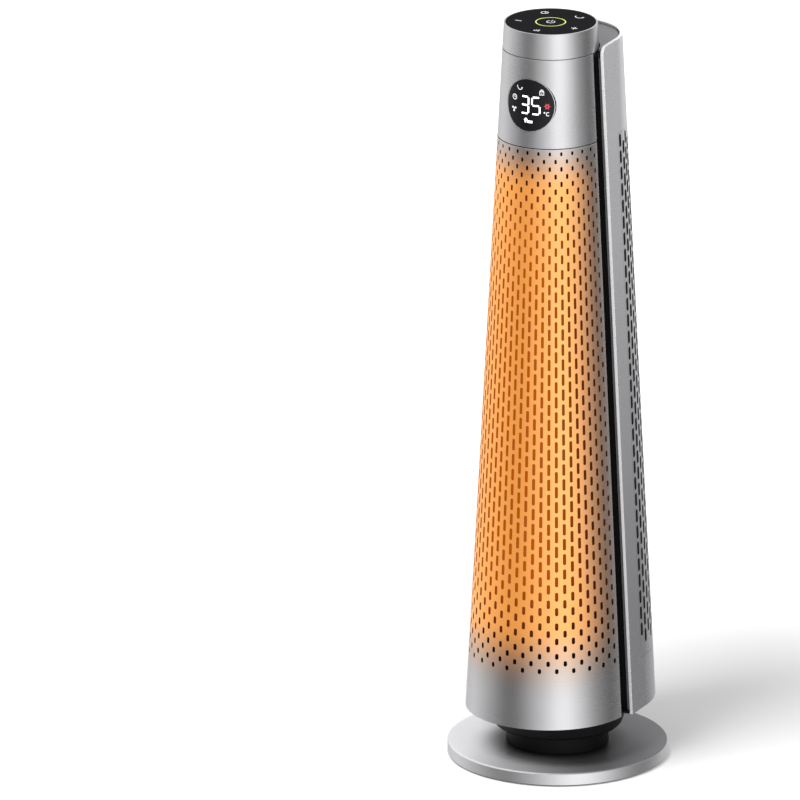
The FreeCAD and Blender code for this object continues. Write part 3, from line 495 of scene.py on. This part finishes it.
def arc(bm, x, y, radius, wide, start, end):
    a = math.radians(start)
    ends = [bm.verts.new((x + r * math.cos(a), y + r * math.sin(a), 0))
            for r in (radius - wide / 2, radius + wide / 2)]
    edge = bm.edges.new(ends)
    steps = max(6, int(abs(end - start) / 12))
    full = abs(end - start) >= 359
    bmesh.ops.spin(bm, geom=ends + [edge], cent=(x, y, 0), axis=(0, 0, 1), dvec=(0, 0, 0),
                   angle=math.radians(end - start), steps=steps, use_merge=full, use_duplicate=False)


def dot(bm, x, y, radius):
    made = bmesh.ops.create_circle(bm, cap_ends=True, segments=18, radius=radius)["verts"]
    bmesh.ops.translate(bm, vec=(x, y, 0), verts=made)


print("marks are drawn with bar, arc and dot")

# %% [markdown]
# A drawing becomes a piece in four moves: its loose ends are merged, its faces are turned to look up, it is
# extruded to a thin plate, and every point of the plate is laid on the panel. The last move is a function
# of its own for each panel, because one panel is flat and the other is part of a cone.

# %% From a drawing to a piece
MARK_THICK = 0.00012


def symbol(name, draw, finish, spread, thick=MARK_THICK):
    """Draws marks flat, gives them a little thickness and lays them on their panel."""
    bm = bmesh.new()
    draw(bm)
    bmesh.ops.remove_doubles(bm, verts=bm.verts[:], dist=1e-6)
    bmesh.ops.recalc_face_normals(bm, faces=bm.faces[:])
    down = [face for face in bm.faces if face.normal.z < 0]
    bmesh.ops.reverse_faces(bm, faces=down)
    grown = bmesh.ops.extrude_face_region(bm, geom=bm.faces[:], use_keep_orig=True)["geom"]
    tops = [item for item in grown if isinstance(item, bmesh.types.BMVert)]
    bmesh.ops.translate(bm, vec=(0, 0, thick), verts=tops)
    bmesh.ops.recalc_face_normals(bm, faces=bm.faces[:])
    for vert in bm.verts:
        vert.co = spread(vert.co)
    mesh = bpy.data.meshes.new(name)
    bm.to_mesh(mesh)
    bm.free()
    mesh.materials.append(finish.material)
    piece = bpy.data.objects.new(name, mesh)
    bpy.context.scene.collection.objects.link(piece)
    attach(piece, "tower")
    print(name, "faces", len(mesh.polygons))
    return piece


print("marks are", MARK_THICK * 1000, "mm thick")

# %% [markdown]
# The touch panel on top carries a power sign in its lime ring and five keys round it: heat bars at the
# front, plus and minus at the sides, swing and timer behind. They are drawn as seen by someone in front of
# the heater.

# %% Signs on the touch panel
panel_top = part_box("control_panel")[1].z
KEY_RING = 0.0375
KEY_TURNS = {"bars": -90, "plus": -18, "swing": 54, "timer": 126, "minus": 198}
FINE, BOLD, REACH = 0.0010, 0.0012, 0.0040


def on_panel(co):
    return Vector((co.x, FRONT_Y + co.y, panel_top + co.z))


def key_spot(name):
    turn = math.radians(KEY_TURNS[name])
    return KEY_RING * math.cos(turn), KEY_RING * math.sin(turn)


def power_sign(bm):
    arc(bm, 0, 0, 0.0046, FINE, 125, 415)
    bar(bm, 0, 0.0014, 0, 0.0064, FINE)


def panel_keys(bm):
    x, y = key_spot("bars")
    for step in (-1, 0, 1):
        place = x + 0.0026 * step
        bar(bm, place, y - 0.0032, place, y + 0.0014 + 0.0012 * step, 0.0013)
    x, y = key_spot("plus")
    bar(bm, x - REACH, y, x + REACH, y, BOLD)
    bar(bm, x, y + BOLD / 2, x, y + REACH, BOLD)
    bar(bm, x, y - REACH, x, y - BOLD / 2, BOLD)
    x, y = key_spot("minus")
    bar(bm, x - REACH, y, x + REACH, y, BOLD)
    x, y = key_spot("swing")
    arc(bm, x, y + 0.0030, 0.0055, FINE, 205, 335)
    bar(bm, x - 0.0056, y + 0.0008, x - 0.0056, y + 0.0040, FINE)
    bar(bm, x + 0.0028, y + 0.0014, x + 0.0056, y + 0.0020, FINE)
    x, y = key_spot("timer")
    arc(bm, x, y, 0.0042, FINE, 0, 360)
    bar(bm, x, y + 0.0003, x, y + 0.0030, 0.0009)
    bar(bm, x + 0.0003, y, x + 0.0024, y, 0.0009)


symbol("panel_power_sign", power_sign, soft_white, on_panel)
symbol("panel_key_signs", panel_keys, soft_white, on_panel)

# %% [markdown]
# The round display shows two lit digits. Each is made of bars, as on a real seven-bar display, with a small
# gap at the ends of the bars. They follow the bulge of the lens: a flat spot is turned into an angle round
# the tower's axis and a height on the cone.

# %% Digits on the display
lens_low, lens_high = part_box("display_lens")
DISC = (lens_high.z - lens_low.z) / 2
DISC_Z = (lens_high.z + lens_low.z) / 2
PROUD = 0.0003
DIGIT_WIDE, DIGIT_TALL = 0.30 * DISC, 0.64 * DISC
STROKE = 0.064 * DISC
GAP = 0.45 * STROKE
SEGMENTS = {"3": "abgcd", "5": "afgcd"}


def on_lens(co):
    z = DISC_Z + co.y
    radius = front_radius(z) + PROUD + co.z
    turn = co.x / front_radius(DISC_Z)
    return Vector((radius * math.sin(turn), FRONT_Y - radius * math.cos(turn), z))


def digit(bm, sign, x):
    half = DIGIT_TALL / 2
    lines = {"a": ((0, half), (1, half)), "g": ((0, 0), (1, 0)), "d": ((0, -half), (1, -half)),
             "f": ((0, half), (0, 0)), "b": ((1, half), (1, 0)), "c": ((1, 0), (1, -half))}
    for key in SEGMENTS[sign]:
        (u0, v0), (u1, v1) = lines[key]
        start = Vector((x + u0 * DIGIT_WIDE, v0))
        end = Vector((x + u1 * DIGIT_WIDE, v1))
        inset = (end - start).normalized() * GAP
        start += inset
        end -= inset
        bar(bm, start.x, start.y, end.x, end.y, STROKE)


def digits(bm):
    digit(bm, "3", -0.303 * DISC)
    digit(bm, "5", 0.138 * DISC)


symbol("display_digits", digits, white_light, on_lens)

# %% [markdown]
# Round the digits stand small signs: swing, lock, clock and degrees in print, a fan, warm air in bright
# white, and the heat sign in red. Each is measured in shares of the display's radius, so all of them follow
# its size.

# %% Small signs on the display
THIN = 0.028 * DISC


def swing_sign(bm, x, y, u):
    arc(bm, x, y + 0.06 * u, 0.11 * u, THIN, 205, 335)
    bar(bm, x - 0.12 * u, y + 0.02 * u, x - 0.12 * u, y + 0.10 * u, THIN)
    bar(bm, x + 0.06 * u, y + 0.02 * u, x + 0.12 * u, y + 0.04 * u, THIN)


def lock_sign(bm, x, y, u):
    for side in (-1, 1):
        level = y + (0.06 * side - 0.03) * u
        bar(bm, x - 0.09 * u, level, x + 0.09 * u, level, THIN)
        post = x + 0.077 * u * side
        bar(bm, post, y - 0.074 * u, post, y + 0.014 * u, THIN * 0.8)
    arc(bm, x, y + 0.045 * u, 0.055 * u, THIN, 0, 180)
    dot(bm, x, y - 0.03 * u, 0.016 * u)


def clock_sign(bm, x, y, u):
    arc(bm, x, y, 0.095 * u, THIN, 0, 360)
    bar(bm, x, y + 0.008 * u, x, y + 0.062 * u, THIN * 0.8)
    bar(bm, x + 0.004 * u, y, x + 0.050 * u, y, THIN * 0.8)


def degree_sign(bm, x, y, u):
    dot(bm, x - 0.11 * u, y + 0.05 * u, 0.032 * u)
    arc(bm, x + 0.02 * u, y, 0.065 * u, THIN, 50, 310)


def small_signs(bm):
    swing_sign(bm, -0.39 * DISC, 0.60 * DISC, DISC)
    lock_sign(bm, 0.51 * DISC, 0.53 * DISC, DISC)
    clock_sign(bm, -0.63 * DISC, 0.23 * DISC, DISC)
    degree_sign(bm, 0.73 * DISC, -0.29 * DISC, DISC)


symbol("display_signs", small_signs, soft_white, on_lens)

# %% [markdown]
# Three more signs have a piece of their own, because their light differs: the fan is three blades round a
# hub, warm air is a thick puff made of bars, and the heat sign is a ring with six rays.

# %% Fan, air and heat signs
def ray(turn):
    return Vector((math.cos(math.radians(turn)), math.sin(math.radians(turn))))


def fan_sign(bm):
    middle = Vector((-0.64, -0.22)) * DISC
    dot(bm, middle.x, middle.y, 0.030 * DISC)
    for turn in (30, 150, 270):
        blade = middle + 0.075 * DISC * ray(turn)
        dot(bm, blade.x, blade.y, 0.040 * DISC)


def warm_air_sign(bm):
    u = DISC
    y = -0.58 * u
    bar(bm, -0.14 * u, y - 0.02 * u, -0.06 * u, y + 0.06 * u, 0.10 * u)
    bar(bm, -0.11 * u, y - 0.09 * u, -0.11 * u, y - 0.02 * u, 0.06 * u)
    bar(bm, -0.04 * u, y - 0.05 * u, 0.17 * u, y - 0.05 * u, 0.09 * u)


def heat_sign(bm):
    middle = Vector((0.72, 0.0)) * DISC
    arc(bm, middle.x, middle.y, 0.060 * DISC, 0.06 * DISC, 0, 360)
    for turn in range(0, 360, 60):
        start = middle + 0.095 * DISC * ray(turn)
        end = middle + 0.125 * DISC * ray(turn)
        bar(bm, start.x, start.y, end.x, end.y, 0.03 * DISC)


symbol("display_fan_sign", fan_sign, soft_white, on_lens)
symbol("display_air_sign", warm_air_sign, white_light, on_lens)
symbol("display_heat_sign", heat_sign, red_light, on_lens)

# %% [markdown]
# A thin bright bead runs round the display, where the lens meets the skin. It is the same drawing tool as
# for the signs: one full arc, a little thicker than the marks.

# %% Bead round the display
def bead(bm):
    arc(bm, 0, 0, DISC + 0.0003, 0.0008, 0, 360)


bead_piece = symbol("display_bead", bead, skin, on_lens, thick=0.0004)

# %% [markdown]
# Below each dark seam lies a painted highlight that stands for a rolled edge catching the light: a paler,
# rougher strip hardly a millimetre wide, laid on the skin. It is one long strip of small squares, wrapped
# round the front of the cone.

# %% Painted highlights at the seams
EDGE_SPAN = math.radians(164)
EDGE_TALL = 0.0006


def painted_seam_highlights(bm):
    for node in ("display_shell", "front_grille"):
        made = bmesh.ops.create_grid(bm, x_segments=80, y_segments=1, size=0.5)["verts"]
        bmesh.ops.scale(bm, vec=(EDGE_SPAN, EDGE_TALL, 1), verts=made)
        bmesh.ops.translate(bm, vec=(0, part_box(node)[1].z - EDGE_TALL, 0), verts=made)


def on_front(co):
    radius = front_radius(co.y) + 0.00002 + co.z
    return Vector((radius * math.sin(co.x), FRONT_Y - radius * math.cos(co.x), co.y))


# painted highlight: a paler, rougher strip of silver laid on the skin below each seam
edge_light = silver("painted_seam_highlight", rgb(226, 226, 228), 0.5)
edge_piece = symbol("seam_edges", painted_seam_highlights, edge_light, on_front, thick=0.0002)

# %% [markdown]
# The floor of the studio is a large pale sheet just under the feet. Near the heater it only takes light, so
# the soft shadow lies on it. Farther off it shines by itself, up to plain white, and so it has no visible
# end. The metal doesn't show it: what the metal shows is the surround.

# %% Floor
FLOOR_TONE = (0.72, 0.72, 0.72, 1.0)
FLOOR_NEAR_LIGHT = (0.05, 0.05, 0.05, 1.0)
FLOOR_FADE = (0.30, 1.2)


def floor():
    bm = bmesh.new()
    bmesh.ops.create_grid(bm, x_segments=1, y_segments=1, size=30.0)
    mesh = bpy.data.meshes.new("studio_floor")
    bm.to_mesh(mesh)
    bm.free()
    piece = bpy.data.objects.new("studio_floor", mesh)
    piece.location.z = -0.0005
    bpy.context.scene.collection.objects.link(piece)
    finish = Finish("floor_white", FLOOR_TONE, Roughness=0.8, Specular_IOR_Level=0.0)
    x, y = finish.axes()[:2]
    far = (x * x + y * y).sum("SQRT").rise(*FLOOR_FADE)
    finish.set(Emission_Color=far.mix(FLOOR_NEAR_LIGHT, WHITE), Emission_Strength=1.0)
    mesh.materials.append(finish.material)
    piece.visible_glossy = False
    print("floor", piece.name, "white from", FLOOR_FADE[1], "m")


floor()

# %% [markdown]
# Satin metal shows what is round it, so the surround makes the long upright bands. It is bright behind the
# camera and behind the heater, and dark at the sides. Each band is an angle from the camera's side, plus to
# the right, with its brightness. A ramp holds values up to 1 only, so it is filled with shares of the peak
# and scaled back. The eye itself sees plain white.

# %% Surround
VIEW = math.radians(25.87)
BANDS = [
    (-180, 1.00), (-130, 0.95), (-95, 0.50), (-62, 0.07), (-45, 0.11), (-5, 0.83), (12, 1.36),
    (26, 1.36), (66, 0.34), (95, 0.06), (117, 0.25), (146, 0.92), (180, 1.00),
]
PEAK = max(value for angle, value in BANDS)
CEILING = (0.80, 0.80, 0.80, 1.0)
CEILING_FADE = (0.45, 0.95)

world = bpy.data.worlds.new("studio_world")
bpy.context.scene.world = world
world.use_nodes = True
tree = world.node_tree
background = tree.nodes["Background"]
start = Wire(tree, background.outputs[0])
way = start.node("ShaderNodeTexCoord", out=0)
split = way.node("ShaderNodeSeparateXYZ", Vector=way).socket.node
wx, wy, wz = [Wire(tree, split.outputs[i]) for i in range(3)]
across = wx * math.cos(VIEW) + wy * math.sin(VIEW)
toward = wx * math.sin(VIEW) - wy * math.cos(VIEW)
turn = across.sum("ARCTAN2", toward) / (2 * math.pi) + 0.5
stops = [(angle / 360 + 0.5, (*[value / PEAK] * 3, 1.0)) for angle, value in BANDS]
ramp = turn.node("ShaderNodeValToRGB", {"stops": stops}, Fac=turn)
grey = ramp.node("ShaderNodeVectorMath", {"operation": "SCALE"}, i0=ramp, Scale=PEAK)
shade = wz.rise(*CEILING_FADE).mix(grey, CEILING)
eye = start.node("ShaderNodeLightPath", out=0)
seen = eye.mix(shade, WHITE)
tree.links.new(seen.socket, background.inputs["Color"])
background.inputs["Strength"].default_value = 1.0
print("surround of", len(BANDS), "bands, peak", PEAK)

# %% [markdown]
# Two soft lamps light the heater: one high on the left, which throws the shadow to the right, and a weak
# tall one in front. Neither shows in the metal, so no hard spot lies on the bands.

# %% Lamps
AIM_Z = 0.42


def lamp(name, turn, height, away, size, power):
    """A soft square lamp, turned from the camera's side: plus is to the right."""
    data = bpy.data.lights.new(name, "AREA")
    data.shape = "RECTANGLE"
    data.size, data.size_y = size
    data.energy = power
    thing = bpy.data.objects.new(name, data)
    a = VIEW + math.radians(turn)
    thing.location = (away * math.sin(a), -away * math.cos(a), height)
    aim = Vector((0, 0, AIM_Z)) - Vector(thing.location)
    thing.rotation_euler = aim.to_track_quat("-Z", "Y").to_euler()
    thing.visible_glossy = False
    bpy.context.scene.collection.objects.link(thing)


lamp("key_left", -46, 2.8, 1.5, (1.1, 1.1), 88.0)
lamp("front_fill", 18, 1.1, 2.6, (0.5, 2.2), 10.0)
print("studio lamps", [thing.name for thing in bpy.data.lights])

# %% [markdown]
# The camera stands far off with a long lens, a little above the heater, as in the photograph, so upright
# edges stay upright and the base is hardly smaller than the top. The picture's scale, in pixels for each
# metre, gives the lens, and the heater stands to the right of the middle.

# %% Camera
ELEVATION, AWAY = math.radians(18.012), 20.0
PIXELS, PIXELS_PER_M = 800, 857.4
SENSOR = 36.0
SIDEWAYS, TARGET_Z = -0.18480, 0.43257

level = math.cos(ELEVATION)
right = Vector((math.cos(VIEW), math.sin(VIEW), 0))
ahead = Vector((-math.sin(VIEW) * level, math.cos(VIEW) * level, -math.sin(ELEVATION)))
target = right * SIDEWAYS + Vector((0, 0, TARGET_Z))
camera_data = bpy.data.cameras.new("camera")
camera_data.sensor_width = SENSOR
camera_data.lens = SENSOR * AWAY * PIXELS_PER_M / PIXELS
camera_data.clip_end = 100.0
camera = bpy.data.objects.new("camera", camera_data)
camera.location = target - ahead * AWAY
camera.rotation_euler = ahead.to_track_quat("-Z", "Y").to_euler()
bpy.context.scene.collection.objects.link(camera)
bpy.context.scene.camera = camera
bpy.context.scene.view_settings.view_transform = "Standard"
print("camera", [round(value, 3) for value in camera.location], "lens", round(camera_data.lens, 1))
